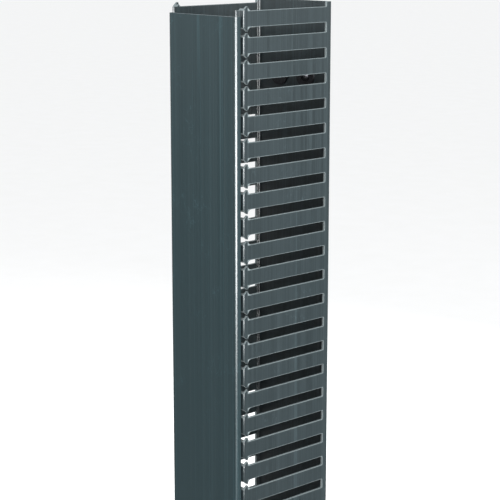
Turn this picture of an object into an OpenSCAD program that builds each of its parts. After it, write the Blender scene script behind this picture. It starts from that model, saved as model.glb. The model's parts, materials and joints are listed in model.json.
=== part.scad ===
// Vertical cable manager for a server rack: a slotted-finger PVC duct with a
// clip-on cover, carried on two folded steel brackets.
// +X is to the right seen from the front, +Y is to the back, +Z is up.
// The origin is at the centre of the whole part, at the foot of the duct.

/* [Duct] */
// Width of the duct over its two finger walls
duct_w = 82.5; // [60:0.5:120]
// Depth of the duct from the fingers' step to the back of the base
duct_d = 94.6; // [60:0.1:120]
// Length of the duct
duct_l = 620; // [240:20:1000]
// Distance from one cable slot to the next
slot_pitch = 20; // [18:0.5:30]
// Thickness of the finger walls
wall_t = 2; // [1.5:0.1:3]
// Thickness of the base
base_t = 2.2; // [1.5:0.1:4]
// Radius outside the back corners and the fingers' step
outer_r = 0.9; // [0.3:0.1:1.4]
// Radius inside the corners of the base
inner_r = 1.5; // [0.5:0.1:2]
// Depth of the break-off line scored inside each wall
score_d = 0.5; // [0.2:0.1:0.8]

/* [Cable slots] */
// Height of the slots between two fingers
slot_h = 7.8; // [5:0.1:12]
// Strip of wall left between the end of a slot and the back of the duct
slot_to_back = 5.4; // [4.5:0.1:20]
// Radius in the corners at the back end of a slot
slot_end_r = 1; // [0.4:0.1:2]
// Gap between the heads of two fingers
neck_gap = 1.2; // [0.8:0.1:3]
// Depth of the gap between the heads
neck_d = 0.7; // [0.4:0.1:3]
// Mouth of the slot at the fingers' step
mouth_h = 7.3; // [3.5:0.1:10]
// Depth of the tapered mouth that leads a cable in
mouth_d = 3.6; // [2:0.1:8]

/* [Finger tips] */
// Distance from the outside of the wall to the outside of the tongue
tongue_inset = 4.4; // [3.8:0.1:8]
// Thickness of the tongue that the cover clips over
tongue_t = 1.5; // [1:0.1:2.5]
// Length of the tongue in front of the fingers' step
tongue_l = 4; // [3:0.1:8]
// Thickness of the shoulder that carries the tongue
shoulder_t = 1.8; // [1:0.1:3]
// Radius of the round bead along the tongue's edge
bead_r = 0.95; // [0.8:0.05:1.5]

/* [Cover] */
// Thickness of the cover's front
cover_t = 1.6; // [1:0.1:2.5]
// Thickness of the cover's flanges
flange_t = 1.4; // [1:0.1:1.8]
// Distance from the outside of the wall to the outside of the cover
cover_inset = 2; // [1:0.1:2.4]
// Radius of the cover's front corners
cover_r = 2.4; // [1.9:0.1:3]
// Length by which the cover stops short of each end of the duct
cover_setback = 8.2; // [0:0.1:20]
// Gap between the cover's flanges and the fingers' step
flange_gap = 1.2; // [0.3:0.1:1.5]
// Height of the rib inside each flange
rib_h = 0.5; // [0.3:0.05:0.8]
// Clearance between the tongue's edge and the inside of the cover
tip_gap = 0.5; // [0.3:0.1:2]

/* [Base slots] */
// Width of the oblong holes in the base
base_slot_w = 6.6; // [4:0.1:9]
// Length of the oblong holes in the base
base_slot_l = 10; // [9.5:0.5:20]
// Height of the first oblong hole above the foot
base_slot_from_foot = 145; // [110:5:160]
// Distance from one oblong hole to the next
base_slot_pitch = 105; // [40:5:110]
// Number of oblong holes in the base
base_slot_count = 4; // [2:2:4]

/* [Brackets] */
// Thickness of the brackets' steel
bracket_t = 2; // [1.5:0.1:4]
// Width of the leg on the duct's base
bracket_w = 60; // [56:1:70]
// Length of the leg that reaches back to the rack
bracket_leg = 30; // [22:1:60]
// Height of the brackets
bracket_h = 52; // [48:1:80]
// Inside radius of the brackets' bend
bend_r = 2; // [1:0.5:4]
// Radius of the brackets' free corners
bracket_corner_r = 4; // [1:0.5:4]
// Height of each bracket's middle above or below its end of the duct
bracket_from_end = 60; // [40:1:80]
// Distance between the two rack slots in one bracket
rack_slot_spacing = 31.75; // [25:0.05:32]
// Width of the rack slots
rack_slot_w = 6.6; // [5:0.1:7]
// Length of the rack slots
rack_slot_l = 12; // [8:0.5:13]

/* [Fasteners] */
// Distance between the two screws of one bracket
screw_spacing = 30; // [24:0.5:32]
// Diameter of the screws
screw_d = 5; // [4:0.5:6]
// Diametral clearance of the screws in the base, washers and brackets
screw_clearance = 0.5; // [0.2:0.1:1]
// Diameter of the screws' pan heads
head_d = 9.5; // [9:0.1:12]
// Height of the screws' pan heads
head_h = 3.2; // [2.6:0.1:4]
// Outside diameter of the wide washers inside the duct
washer_d = 20; // [12:0.5:22]
// Thickness of the wide washers
washer_t = 1.2; // [0.8:0.1:2]
// Outside diameter of the spring washers
spring_washer_d = 9.2; // [9:0.1:12]
// Thickness of the spring washers
spring_washer_t = 1.4; // [1:0.1:2]
// Slit in the spring washers
spring_washer_slit = 1; // [0.5:0.1:2]
// Width of the nuts across their flats
nut_af = 8; // [8:0.5:11]
// Thickness of the nuts
nut_t = 4; // [3:0.1:6]
// Length of screw that shows past the nut
screw_past_nut = 1.2; // [0.5:0.1:3]
// Width of the arms of the cross in the screws' heads
recess_w = 1; // [0.6:0.1:1.4]
// Length of the arms of the cross, end to end
recess_l = 4.8; // [3:0.1:6]
// Depth of the cross
recess_d = 1.8; // [1:0.1:2.4]

/* [Hidden] */
$fn = 48;

pvc = [0.24, 0.30, 0.32];
black_steel = [0.10, 0.10, 0.11];
black_oxide = [0.14, 0.14, 0.15];

// A cut reaches this far past the solid that it opens
past = 1;
// Radial clearance of the nuts' plain bores on the screws
thread_gap = 0.05;

finger_count = floor(duct_l / slot_pitch);
// The slots are centred on the length; the outer ones are cut in half by the ends
first_slot_z = (duct_l - finger_count * slot_pitch) / 2;
// How far the cover's front stands ahead of the fingers' step
cover_proud = cover_t + tip_gap + tongue_l;
total_d = cover_proud + duct_d + bracket_leg;
front_y = -total_d / 2;
step_y = front_y + cover_proud;
back_y = step_y + duct_d;
base_y = back_y - base_t;

neck_y = step_y + mouth_d;
slot_front_y = neck_y + neck_d;
slot_back_y = back_y - slot_to_back;

cover_w = duct_w - 2 * cover_inset;
cover_d = cover_proud - flange_gap;
cover_l = duct_l - 2 * cover_setback;

bore_d = screw_d + screw_clearance;
screw_l = washer_t + base_t + bracket_t + spring_washer_t + nut_t + screw_past_nut;
upper_z = duct_l - bracket_from_end;
lower_z = bracket_from_end;
left_x = -screw_spacing / 2;
right_x = screw_spacing / 2;

// ---- helpers ----

// An extrusion along X of an outline drawn in Y and Z
module along_x(x0, length) {
    translate([x0, 0, 0]) rotate([90, 0, 90]) linear_extrude(length) children();
}

// A cylinder that starts at y and runs towards +Y
module rod_y(y, length, r) {
    translate([0, y, 0]) rotate([-90, 0, 0]) cylinder(h = length, r = r);
}

// A rectangle w wide that runs from y = 0 to y = d, with round corners at y = 0
module round_end(w, d, r) {
    translate([-w / 2 + r, 0]) square([w - 2 * r, d]);
    translate([-w / 2, r]) square([w, d - r]);
    for (side = [-1, 1]) translate([side * (w / 2 - r), r]) circle(r);
}

// An upright slot with round ends, centred on the origin
module oblong(w, length) {
    translate([-w / 2, -(length - w) / 2]) square([w, length - w]);
    for (side = [-1, 1]) translate([0, side * (length - w) / 2]) circle(w / 2);
}

// ---- duct ----

// The U of the base and the two walls, closed over the front for now
module channel_outline() {
    difference() {
        translate([0, step_y]) {
            round_end(duct_w, duct_d / 2, outer_r);
            translate([0, duct_d]) mirror([0, 1]) round_end(duct_w, duct_d / 2 + past, outer_r);
        }
        translate([0, base_y]) mirror([0, 1])
            round_end(duct_w - 2 * wall_t, duct_d - base_t - shoulder_t, inner_r);
    }
}

// The jog and tongue at the tip of the fingers, with the bead that holds the cover
module tip_outline() {
    tongue_x = duct_w / 2 - tongue_inset - tongue_t;
    translate([tongue_x, step_y]) square([duct_w / 2 - wall_t - tongue_x + outer_r, shoulder_t]);
    translate([tongue_x, step_y - tongue_l + bead_r]) square([tongue_t, tongue_l - bead_r + outer_r]);
    translate([tongue_x + tongue_t / 2, step_y - tongue_l + bead_r]) circle(bead_r);
}

module duct_outline() {
    opening_w = duct_w - 2 * (tongue_inset + tongue_t);
    difference() {
        channel_outline();
        translate([-opening_w / 2, step_y - past]) square([opening_w, shoulder_t + 2 * past]);
        // a square on its corner leaves a V along the inside of each wall
        for (side = [-1, 1])
            translate([side * (duct_w / 2 - wall_t), (slot_back_y + base_y - inner_r) / 2])
                rotate(45) square(score_d * sqrt(2), center = true);
    }
    for (side = [0, 1]) mirror([side, 0]) tip_outline();
}

// One cable slot in Y and Z: tapered mouth, neck, round front, square back end
module slot_outline() {
    tip_y = step_y - tongue_l - past;
    polygon([
        [tip_y, -mouth_h / 2], [step_y, -mouth_h / 2], [neck_y, -neck_gap / 2],
        [neck_y, neck_gap / 2], [step_y, mouth_h / 2], [tip_y, mouth_h / 2]
    ]);
    translate([neck_y - neck_d, -neck_gap / 2]) square([2 * neck_d + slot_h / 2, neck_gap]);
    translate([slot_front_y + slot_h / 2, 0]) circle(slot_h / 2);
    translate([slot_back_y, 0]) rotate(90)
        round_end(slot_h, slot_back_y - slot_front_y - slot_h / 2, slot_end_r);
}

module duct() {
    color(pvc) difference() {
        linear_extrude(duct_l) duct_outline();
        for (i = [0 : finger_count])
            translate([0, 0, first_slot_z + i * slot_pitch])
                along_x(-duct_w / 2 - past, duct_w + 2 * past) slot_outline();
        for (i = [0 : base_slot_count - 1])
            translate([0, back_y + past, base_slot_from_foot + i * base_slot_pitch])
                rotate([90, 0, 0]) linear_extrude(base_t + 2 * past) oblong(base_slot_w, base_slot_l);
        for (x = [left_x, right_x], z = [lower_z, upper_z])
            translate([x, 0, z]) rod_y(base_y - past, base_t + 2 * past, bore_d / 2);
    }
}

// ---- cover ----

module cover_outline() {
    difference() {
        translate([0, front_y]) round_end(cover_w, cover_d, cover_r);
        translate([0, front_y + cover_t])
            round_end(cover_w - 2 * flange_t, cover_d, cover_r - cover_t);
    }
    rib_y = front_y + cover_d - rib_h;
    for (side = [-1, 1])
        translate([side * (cover_w / 2 - flange_t), rib_y]) circle(rib_h);
}

module cover() {
    color(pvc) translate([0, 0, cover_setback]) linear_extrude(cover_l) cover_outline();
}

// ---- brackets ----

// The folded steel bracket, with its middle at height z
module bracket(z) {
    bend_x = -bracket_w / 2 + bracket_t + bend_r;
    bend_y = back_y + bracket_t + bend_r;
    base_leg = bracket_w / 2 - bend_x;
    rack_leg = back_y + bracket_leg - bend_y;
    color(black_steel) translate([0, 0, z]) difference() {
        union() {
            // leg on the base of the duct
            translate([bend_x, back_y + bracket_t, 0]) rotate([90, 0, 0])
                linear_extrude(bracket_t) free_end(base_leg);
            // leg towards the rack
            along_x(-bracket_w / 2, bracket_t) translate([bend_y, 0]) free_end(rack_leg);
            // bend
            translate([bend_x, bend_y, -bracket_h / 2]) linear_extrude(bracket_h)
                intersection() {
                    difference() {
                        circle(bend_r + bracket_t);
                        circle(bend_r);
                    }
                    translate([-bend_r - bracket_t, -bend_r - bracket_t])
                        square(bend_r + bracket_t);
                }
        }
        for (x = [left_x, right_x])
            translate([x, 0, 0]) rod_y(back_y - past, bracket_t + 2 * past, bore_d / 2);
        for (side = [-1, 1])
            translate([0, 0, side * rack_slot_spacing / 2])
                along_x(-bracket_w / 2 - past, bracket_t + 2 * past)
                    translate([rack_hole_y(), 0]) oblong(rack_slot_w, rack_slot_l);
    }
}

// The middle of the flat stretch of the leg towards the rack
function rack_hole_y() = back_y + (bracket_t + bend_r + bracket_leg) / 2;

// A leg of the given length, from the bend to its two rounded corners
module free_end(length) {
    translate([length, 0]) rotate(90) round_end(bracket_h, length, bracket_corner_r);
}

// ---- fasteners: each is drawn on the screw's line at x, z ----

module screw(x, z) {
    head_y = base_y - washer_t;
    dome_r = (head_d * head_d / 4 + head_h * head_h) / (2 * head_h) + head_h / 4;
    color(black_oxide) translate([x, 0, z]) difference() {
        union() {
            rod_y(head_y, screw_l, screw_d / 2);
            intersection() {
                rod_y(head_y - head_h, head_h, head_d / 2);
                translate([0, head_y - head_h + dome_r, 0]) sphere(dome_r);
            }
        }
        for (turn = [0, 90])
            translate([0, head_y - head_h, 0]) rotate([0, turn, 0])
                translate([-recess_w / 2, -past, -recess_l / 2])
                    cube([recess_w, recess_d + past, recess_l]);
    }
}

module wide_washer(x, z) {
    color(black_oxide) translate([x, 0, z]) difference() {
        rod_y(base_y - washer_t, washer_t, washer_d / 2);
        rod_y(base_y - washer_t - past, washer_t + 2 * past, bore_d / 2);
    }
}

module spring_washer(x, z) {
    y = back_y + bracket_t;
    color(black_oxide) translate([x, 0, z]) difference() {
        rod_y(y, spring_washer_t, spring_washer_d / 2);
        rod_y(y - past, spring_washer_t + 2 * past, bore_d / 2);
        translate([0, y - past, -spring_washer_slit / 2])
            cube([spring_washer_d, spring_washer_t + 2 * past, spring_washer_slit]);
    }
}

module nut(x, z) {
    y = back_y + bracket_t + spring_washer_t;
    corner_r = nut_af / 2 / cos(30);
    chamfer = corner_r - nut_af / 2;
    color(black_oxide) translate([x, 0, z]) difference() {
        intersection() {
            translate([0, y, 0]) rotate([-90, 0, 0]) cylinder(h = nut_t, r = corner_r, $fn = 6);
            translate([0, y, 0]) rotate([-90, 0, 0]) rotate_extrude() polygon([
                [0, 0], [nut_af / 2, 0], [corner_r, chamfer / 2], [corner_r, nut_t - chamfer / 2],
                [nut_af / 2, nut_t], [0, nut_t]
            ]);
        }
        rod_y(y - past, nut_t + 2 * past, screw_d / 2 + thread_gap);
    }
}

// ---- the part ----

duct();
cover();
bracket(upper_z);  // upper_bracket
bracket(lower_z);  // lower_bracket
screw(left_x, upper_z);  // upper_left_screw
screw(right_x, upper_z);  // upper_right_screw
screw(left_x, lower_z);  // lower_left_screw
screw(right_x, lower_z);  // lower_right_screw
wide_washer(left_x, upper_z);  // upper_left_washer
wide_washer(right_x, upper_z);  // upper_right_washer
wide_washer(left_x, lower_z);  // lower_left_washer
wide_washer(right_x, lower_z);  // lower_right_washer
spring_washer(left_x, upper_z);  // upper_left_spring_washer
spring_washer(right_x, upper_z);  // upper_right_spring_washer
spring_washer(left_x, lower_z);  // lower_left_spring_washer
spring_washer(right_x, lower_z);  // lower_right_spring_washer
nut(left_x, upper_z);  // upper_left_nut
nut(right_x, upper_z);  // upper_right_nut
nut(left_x, lower_z);  // lower_left_nut
nut(right_x, lower_z);  // lower_right_nut
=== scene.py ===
import json
import math

import bpy
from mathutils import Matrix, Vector


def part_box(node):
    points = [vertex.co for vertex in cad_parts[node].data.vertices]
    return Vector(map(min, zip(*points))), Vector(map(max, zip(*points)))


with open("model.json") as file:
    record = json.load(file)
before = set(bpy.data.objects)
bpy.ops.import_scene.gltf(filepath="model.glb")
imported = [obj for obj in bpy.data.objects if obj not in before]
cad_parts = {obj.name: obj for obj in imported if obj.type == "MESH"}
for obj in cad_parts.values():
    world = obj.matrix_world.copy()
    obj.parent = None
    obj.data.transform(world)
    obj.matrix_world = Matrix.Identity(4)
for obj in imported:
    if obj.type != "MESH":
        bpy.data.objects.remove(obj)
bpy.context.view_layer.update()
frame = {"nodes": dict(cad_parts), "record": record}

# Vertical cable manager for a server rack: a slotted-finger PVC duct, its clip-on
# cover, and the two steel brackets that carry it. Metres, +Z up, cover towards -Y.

MM = 0.001

# ---- Camera ----
# A long lens a little above the top of the duct, to the right of its front, so that
# the cover's face and the right-hand fingers show about equally.

duct_low, duct_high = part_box("duct")
cover_low, cover_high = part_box("cover")

CAMERA_YAW = math.radians(-47.06)
CAMERA_PITCH = math.radians(11.98)
CAMERA_DISTANCE = 1219 * MM
CAMERA_LENS = 113.7
# What it looks at, from the duct's right side, the cover's face and the duct's top end.
AIM_OFFSET = Vector((5.5 * MM, 7.6 * MM, -186.4 * MM))

forward = Vector((
    math.sin(CAMERA_YAW) * math.cos(CAMERA_PITCH),
    math.cos(CAMERA_YAW) * math.cos(CAMERA_PITCH),
    -math.sin(CAMERA_PITCH),
))
aim = Vector((duct_high.x, cover_low.y, duct_high.z)) + AIM_OFFSET

camera = bpy.data.objects.new("camera", bpy.data.cameras.new("camera"))
bpy.context.scene.collection.objects.link(camera)
camera.data.lens = CAMERA_LENS
camera.location = aim - forward * CAMERA_DISTANCE
camera.rotation_euler = forward.to_track_quat("-Z", "Y").to_euler()
bpy.context.scene.camera = camera

# ---- Studio ----
# A pale floor under an even pale sky. One softbox faces the cover, one the right-hand
# fingers and one the back, and none shows in reflections. A low, wide card beside the
# camera does only that, as the bright line down the cover's round corner.

FLOOR_SIZE = 60.0
FLOOR_GAP = 0.2 * MM
PAPER_MOTTLE = 60 * MM
SKY_ABOVE = 1.0
SKY_BELOW = 0.2
# Slopes between which the sky turns from dark to pale, just under the horizon.
SKY_TURN = (-0.09, -0.04)


def linear(hex_colour):
    """An sRGB colour such as "4d595c" as linear red, green, blue and alpha."""
    channels = [int(hex_colour[i:i + 2], 16) / 255 for i in (0, 2, 4)]
    return [c / 12.92 if c <= 0.04045 else ((c + 0.055) / 1.055) ** 2.4
            for c in channels] + [1.0]


def add_node(tree, kind, settings=None, links=None):
    """Adds a node, sets its inputs and properties by name, and links its inputs.

    A link's source is a socket, or a node for that node's first output.
    """
    made = tree.nodes.new(kind)
    for name, value in (settings or {}).items():
        if isinstance(name, int) or name in made.inputs:
            made.inputs[name].default_value = value
        else:
            setattr(made, name, value)
    for name, source in (links or {}).items():
        tree.links.new(getattr(source, "outputs", [source])[0], made.inputs[name])
    return made


def new_material(name):
    """An empty node material and its Principled shader."""
    material = bpy.data.materials.new(name)
    material.use_nodes = True
    shader = material.node_tree.nodes["Principled BSDF"]
    return material, material.node_tree, shader


def softbox(name, azimuth, distance, height, width, tall, power, look_z):
    """A rectangular area light round the duct, aimed at the height look_z on its axis."""
    light = bpy.data.lights.new(name, "AREA")
    light.shape = "RECTANGLE"
    light.size, light.size_y = width, tall
    light.energy = power
    lamp = bpy.data.objects.new(name, light)
    turn = math.radians(azimuth)
    lamp.location = (math.sin(turn) * distance, -math.cos(turn) * distance, height)
    towards = Vector((0, 0, look_z)) - lamp.location
    lamp.rotation_euler = towards.to_track_quat("-Z", "Y").to_euler()
    lamp.visible_camera = False
    bpy.context.scene.collection.objects.link(lamp)
    return lamp


front_softbox = softbox("front_softbox", azimuth=0, distance=0.9, height=0.8,
                        width=0.5, tall=0.4, power=5.8, look_z=0.55)
side_softbox = softbox("side_softbox", azimuth=92, distance=0.9, height=0.64,
                       width=0.5, tall=0.4, power=10.4, look_z=0.5)
back_softbox = softbox("back_softbox", azimuth=190, distance=1.1, height=0.7,
                       width=0.7, tall=0.7, power=9, look_z=0.35)
for lamp in (front_softbox, side_softbox, back_softbox):
    lamp.visible_glossy = False
corner_card = softbox("corner_card", azimuth=46, distance=1.5, height=0.66,
                      width=1.45, tall=1.05, power=145, look_z=0.55)
corner_card.visible_diffuse = False

floor_mesh = bpy.data.meshes.new("floor")
half = FLOOR_SIZE / 2
floor_mesh.from_pydata(
    [(-half, -half, 0), (half, -half, 0), (half, half, 0), (-half, half, 0)],
    [], [(0, 1, 2, 3)])
floor = bpy.data.objects.new("floor", floor_mesh)
floor.location.z = duct_low.z - FLOOR_GAP
bpy.context.scene.collection.objects.link(floor)
floor.visible_glossy = False

# Matt paper: no gloss at all, and only the faintest mottling.
paper, tree, shader = new_material("pale_studio_paper")
mottle = add_node(tree, "ShaderNodeTexNoise", {"Scale": 1 / PAPER_MOTTLE, "Detail": 2.0},
                  {"Vector": add_node(tree, "ShaderNodeTexCoord").outputs["Object"]})
tint = add_node(tree, "ShaderNodeMix",
                {"data_type": "RGBA", 6: linear("fafaf9"), 7: linear("fefefe")}, {0: mottle})
tree.links.new(tint.outputs[2], shader.inputs["Base Color"])
shader.inputs["Roughness"].default_value = 0.9
shader.inputs["Specular IOR Level"].default_value = 0.0
floor_mesh.materials.append(paper)

world = bpy.data.worlds.new("studio_sky")
world.use_nodes = True
tree = world.node_tree
towards = add_node(tree, "ShaderNodeSeparateXYZ", {},
                   {0: add_node(tree, "ShaderNodeTexCoord").outputs["Generated"]})
# Below the floor line only reflections see the sky, since the floor is kept out of them.
brightness = add_node(tree, "ShaderNodeMapRange",
                      {"From Min": SKY_TURN[0], "From Max": SKY_TURN[1],
                       "To Min": SKY_BELOW, "To Max": SKY_ABOVE},
                      {"Value": towards.outputs[2]})
tree.nodes["Background"].inputs["Color"].default_value = linear("f7f8f9")
tree.links.new(brightness.outputs[0], tree.nodes["Background"].inputs["Strength"])
bpy.context.scene.world = world
bpy.context.scene.view_settings.view_transform = "Standard"

# ---- Duct ----
# One extrusion of rigid PVC: the base and both finger walls. The slots are punched
# out afterwards, which leaves their edges dull and whitened, and the ends are sawn.
# Their paler colour, on the cut faces and in a rim round each slot, is partly that
# whitening and partly a painted edge highlight.

SLOT_HEIGHT = 7.8 * MM
SLOT_END_RADIUS = 1 * MM
SLOT_TO_BACK = 5.4 * MM
SLOT_DEPTH = 84.9 * MM
EXTRUSION_EDGE = 0.2 * MM

nodes = frame["nodes"]
slots = [space["box_m"] for space in frame["record"]["physics"]["openings"]
         if space["name"].startswith("slot")]
slot_pitch = slots[1][0][2] - slots[0][0][2]
slot_back = duct_high.y - SLOT_TO_BACK


def crisp(node, width):
    """Rounds a CAD node's sharp edges by width, on top of its unchanged mesh."""
    # Its flat faces are made whole first, so that the rounding stays even.
    weld = node.modifiers.new("weld", "WELD")
    weld.merge_threshold = 0.005 * MM
    flat = node.modifiers.new("flat", "DECIMATE")
    flat.decimate_type = "DISSOLVE"
    flat.angle_limit = math.radians(1)
    bevel = node.modifiers.new("edges", "BEVEL")
    bevel.width = width
    bevel.segments = 2
    bevel.limit_method = "ANGLE"
    bevel.angle_limit = math.radians(35)
    bevel.harden_normals = False


def dress(node, material):
    """Gives a CAD node one material all over."""
    node.data.materials.clear()
    node.data.materials.append(material)


# The PVC: satin, since the die polishes it, with draw lines that run the whole way along, painted
# lighter and darker as partly their own tone and partly painted sheen.
# The punch and the saw leave it dull and whitened, in a fine pale line round every slot, which is
# partly real whitening and partly a painted edge highlight.
WHITENED_AND_HIGHLIGHT_RIM = 0.55 * MM
# The finest lines are about 0.3 mm apart, and are drawn coarser so that they show.
DRAW_LINES = 1.3 * MM
DEEP_LINES = 11 * MM
DEEP_LINE_LENGTH = 4000 * MM
SCUFF_WIDTH, SCUFF_LENGTH = 9 * MM, 16 * MM
SCUFFED_PATCH = 30 * MM
CUT_FACE_SLOPE = 0.35


def slot_rim(tree, spot):
    """1 on the punched faces and fading out over the pale rim round each slot, partly real
    whitening and partly a painted edge highlight.
    """
    split = add_node(tree, "ShaderNodeSeparateXYZ", {}, {0: spot})
    across = add_node(tree, "ShaderNodeMath", {"operation": "PINGPONG", 1: slot_pitch / 2},
                      {0: split.outputs[2]})
    flat = add_node(tree, "ShaderNodeCombineXYZ", {}, {0: split.outputs[1], 1: across})
    corner = (slot_back - SLOT_END_RADIUS, SLOT_HEIGHT / 2 - SLOT_END_RADIUS, 0)
    beside = add_node(tree, "ShaderNodeVectorMath", {"operation": "SUBTRACT", 1: corner}, {0: flat})
    outside = add_node(tree, "ShaderNodeVectorMath", {"operation": "MAXIMUM", 1: (0, 0, 0)},
                       {0: beside})
    reach = add_node(tree, "ShaderNodeVectorMath", {"operation": "LENGTH"}, {0: outside})
    rim = add_node(tree, "ShaderNodeMapRange",
                   {"From Min": SLOT_END_RADIUS, "From Max": SLOT_END_RADIUS + WHITENED_AND_HIGHLIGHT_RIM,
                    "To Min": 1.0, "To Max": 0.0},
                   {"Value": reach.outputs["Value"]})
    behind_neck = add_node(tree, "ShaderNodeMath",
                           {"operation": "GREATER_THAN", 1: slot_back - SLOT_DEPTH},
                           {0: split.outputs[1]})
    return add_node(tree, "ShaderNodeMath", {"operation": "MULTIPLY"}, {0: rim, 1: behind_neck})


def pvc(name, drawn, punched, is_slotted, line_length, line_and_sheen_contrast):
    """Extruded PVC in its drawn and its punched colour; the punched colour is partly real whitening
    and partly a painted edge highlight.

    Its finest draw lines are line_length long, and lighter or darker by the given contrast, partly
    their own tone and partly painted sheen.
    """
    material, tree, shader = new_material(name)
    place = add_node(tree, "ShaderNodeTexCoord").outputs["Object"]

    def along_z(width, length, detail):
        """Noise drawn out along Z, in patches of about width by length."""
        stretch = add_node(tree, "ShaderNodeMapping",
                           {"Scale": (1 / width, 1 / width, 1 / length)}, {"Vector": place})
        return add_node(tree, "ShaderNodeTexNoise",
                        {"Scale": 1.0, "Detail": detail, "Roughness": 0.65}, {"Vector": stretch})

    def pale_line(noise, level, reach, strength):
        """A thin, paler line wherever the noise crosses the level."""
        above = add_node(tree, "ShaderNodeMath", {"operation": "SUBTRACT", 1: level}, {0: noise})
        away = add_node(tree, "ShaderNodeMath", {"operation": "ABSOLUTE"}, {0: above})
        return add_node(tree, "ShaderNodeMapRange",
                        {"From Min": 0.0, "From Max": reach, "To Min": strength, "To Max": 0.0},
                        {"Value": away})

    fine = along_z(DRAW_LINES, line_length, 2.0)
    # Streaks along the draw lines in the base colour: partly the PVC's own tone, partly painted
    # sheen.
    tone_and_sheen = add_node(tree, "ShaderNodeMapRange",
                    {"From Min": 0.3, "From Max": 0.7,
                     "To Min": 1 - line_and_sheen_contrast, "To Max": 1 + line_and_sheen_contrast}, {"Value": fine})
    # The few deepest draw lines run from end to end, as pale lines that are partly painted sheen.
    deep = pale_line(along_z(DEEP_LINES, DEEP_LINE_LENGTH, 1.0), 0.56, 0.014, 0.6)
    # Light scuffs from cables and hands, in a few places only.
    scuff = pale_line(along_z(SCUFF_WIDTH, SCUFF_LENGTH, 2.0), 0.5, 0.012, 0.8)
    scuffed = add_node(tree, "ShaderNodeMapRange",
                       {"From Min": 0.55, "From Max": 0.65, "To Min": 0.0, "To Max": 1.0},
                       {"Value": along_z(SCUFFED_PATCH, SCUFFED_PATCH, 1.0)})
    marks = add_node(tree, "ShaderNodeMath", {"operation": "MULTIPLY_ADD"},
                     {0: scuff, 1: scuffed, 2: deep})
    brightness = add_node(tree, "ShaderNodeMath", {"operation": "ADD"}, {0: tone_and_sheen, 1: marks})
    drawn_shade = add_node(tree, "ShaderNodeVectorMath",
                           {"operation": "SCALE", 0: linear(drawn)[:3]}, {"Scale": brightness})

    # Sawn ends and the slots' punched edges are the faces that look up or down.
    normal = add_node(tree, "ShaderNodeNewGeometry").outputs["True Normal"]
    facing = add_node(tree, "ShaderNodeSeparateXYZ", {}, {0: normal})
    tilt = add_node(tree, "ShaderNodeMath", {"operation": "ABSOLUTE"}, {0: facing.outputs[2]})
    pale = add_node(tree, "ShaderNodeMath", {"operation": "GREATER_THAN", 1: CUT_FACE_SLOPE},
                    {0: tilt})
    if is_slotted:
        pale = add_node(tree, "ShaderNodeMath", {"operation": "MAXIMUM"},
                        {0: pale, 1: slot_rim(tree, place)})
    # Cut faces and slot rims take the paler punched colour: partly real whitening, partly a painted
    # edge highlight.
    shade = add_node(tree, "ShaderNodeMix", {"data_type": "RGBA", 7: linear(punched)},
                     {0: pale, 6: drawn_shade})
    satin = add_node(tree, "ShaderNodeMapRange",
                     {"From Min": 0.45, "From Max": 0.75, "To Min": 0.29, "To Max": 0.42},
                     {"Value": fine})
    dullness = add_node(tree, "ShaderNodeMix", {"data_type": "FLOAT", 3: 0.7}, {0: pale, 2: satin})
    bump = add_node(tree, "ShaderNodeBump", {"Strength": 0.05, "Distance": 0.01 * MM},
                    {"Height": fine})
    tree.links.new(shade.outputs[2], shader.inputs["Base Color"])
    tree.links.new(dullness.outputs[0], shader.inputs["Roughness"])
    tree.links.new(bump.outputs[0], shader.inputs["Normal"])
    shader.inputs["IOR"].default_value = 1.53
    return material


duct_pvc = pvc("slate_grey_pvc_duct", drawn="283235", punched="6a7577", is_slotted=True,
               line_length=220 * MM, line_and_sheen_contrast=0.27)
dress(nodes["duct"], duct_pvc)
crisp(nodes["duct"], EXTRUSION_EDGE)

# ---- Cover ----
# A second extrusion of the same PVC, with a smoother face: its draw lines are longer and
# fainter. Its flanges clip over the beads on the fingers' tips.

# Its drawn colour is the duct's PVC painted darker, as painted shade on the cover's front face.
shaded_cover_pvc = pvc("slate_grey_pvc_cover_painted_shade", drawn="1f3034", punched="6a7577", is_slotted=False,
                line_length=1500 * MM, line_and_sheen_contrast=0.1)
dress(nodes["cover"], shaded_cover_pvc)
crisp(nodes["cover"], EXTRUSION_EDGE)

# ---- Brackets ----
# Two angles folded from 2 mm mild steel and powder coated black. Each is bolted to the
# back of the duct by one leg, and its other leg has two slots for the rack rail's screws.

# The coat: satin, with the pebbled skin that the powder leaves as it melts together, and
# duller, paler patches where it has been handled.
PEBBLE = 0.9 * MM
PEBBLE_HEIGHT = 0.04 * MM
HANDLED_PATCH = 22 * MM
COATED_EDGE = 0.3 * MM

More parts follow.
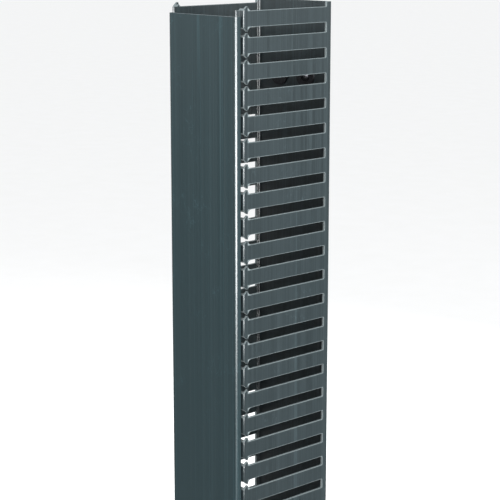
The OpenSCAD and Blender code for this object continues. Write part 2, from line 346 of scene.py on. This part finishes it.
black_coat, tree, shader = new_material("black_powder_coat")
place = add_node(tree, "ShaderNodeTexCoord").outputs["Object"]
pebbles = add_node(tree, "ShaderNodeTexNoise", {"Scale": 1 / PEBBLE, "Detail": 2.0},
                   {"Vector": place})
handled = add_node(tree, "ShaderNodeTexNoise", {"Scale": 1 / HANDLED_PATCH, "Detail": 3.0},
                   {"Vector": place})
coat = add_node(tree, "ShaderNodeMix",
                {"data_type": "RGBA", 6: linear("16181b"), 7: linear("1e2023")}, {0: handled})
dullness = add_node(tree, "ShaderNodeMapRange",
                    {"From Min": 0.35, "From Max": 0.65, "To Min": 0.38, "To Max": 0.52},
                    {"Value": handled})
bump = add_node(tree, "ShaderNodeBump", {"Strength": 0.35, "Distance": PEBBLE_HEIGHT},
                {"Height": pebbles})
tree.links.new(coat.outputs[2], shader.inputs["Base Color"])
tree.links.new(dullness.outputs[0], shader.inputs["Roughness"])
tree.links.new(bump.outputs[0], shader.inputs["Normal"])
for name in ("upper_bracket", "lower_bracket"):
    dress(nodes[name], black_coat)
    crisp(nodes[name], COATED_EDGE)

# ---- Fasteners ----
# Four M5 pan-head screws with wide washers inside the duct, and spring washers and nuts
# behind the brackets. All are steel with a black oxide finish.

# Black oxide: a thin blue-black skin on bright steel, mottled where it took unevenly.
MOTTLE = 1.6 * MM
TURNED_EDGE = 0.12 * MM

black_oxide, tree, shader = new_material("black_oxide_steel")
place = add_node(tree, "ShaderNodeTexCoord").outputs["Object"]
mottle = add_node(tree, "ShaderNodeTexNoise", {"Scale": 1 / MOTTLE, "Detail": 3.0},
                  {"Vector": place})
skin = add_node(tree, "ShaderNodeMix",
                {"data_type": "RGBA", 6: linear("2c2d31"), 7: linear("4a4a4c")}, {0: mottle})
sheen = add_node(tree, "ShaderNodeMapRange",
                 {"From Min": 0.3, "From Max": 0.7, "To Min": 0.32, "To Max": 0.48},
                 {"Value": mottle})
tree.links.new(skin.outputs[2], shader.inputs["Base Color"])
tree.links.new(sheen.outputs[0], shader.inputs["Roughness"])
shader.inputs["Metallic"].default_value = 1.0
for name, node in nodes.items():
    if name.endswith(("screw", "washer", "nut")):
        dress(node, black_oxide)
        crisp(node, TURNED_EDGE)
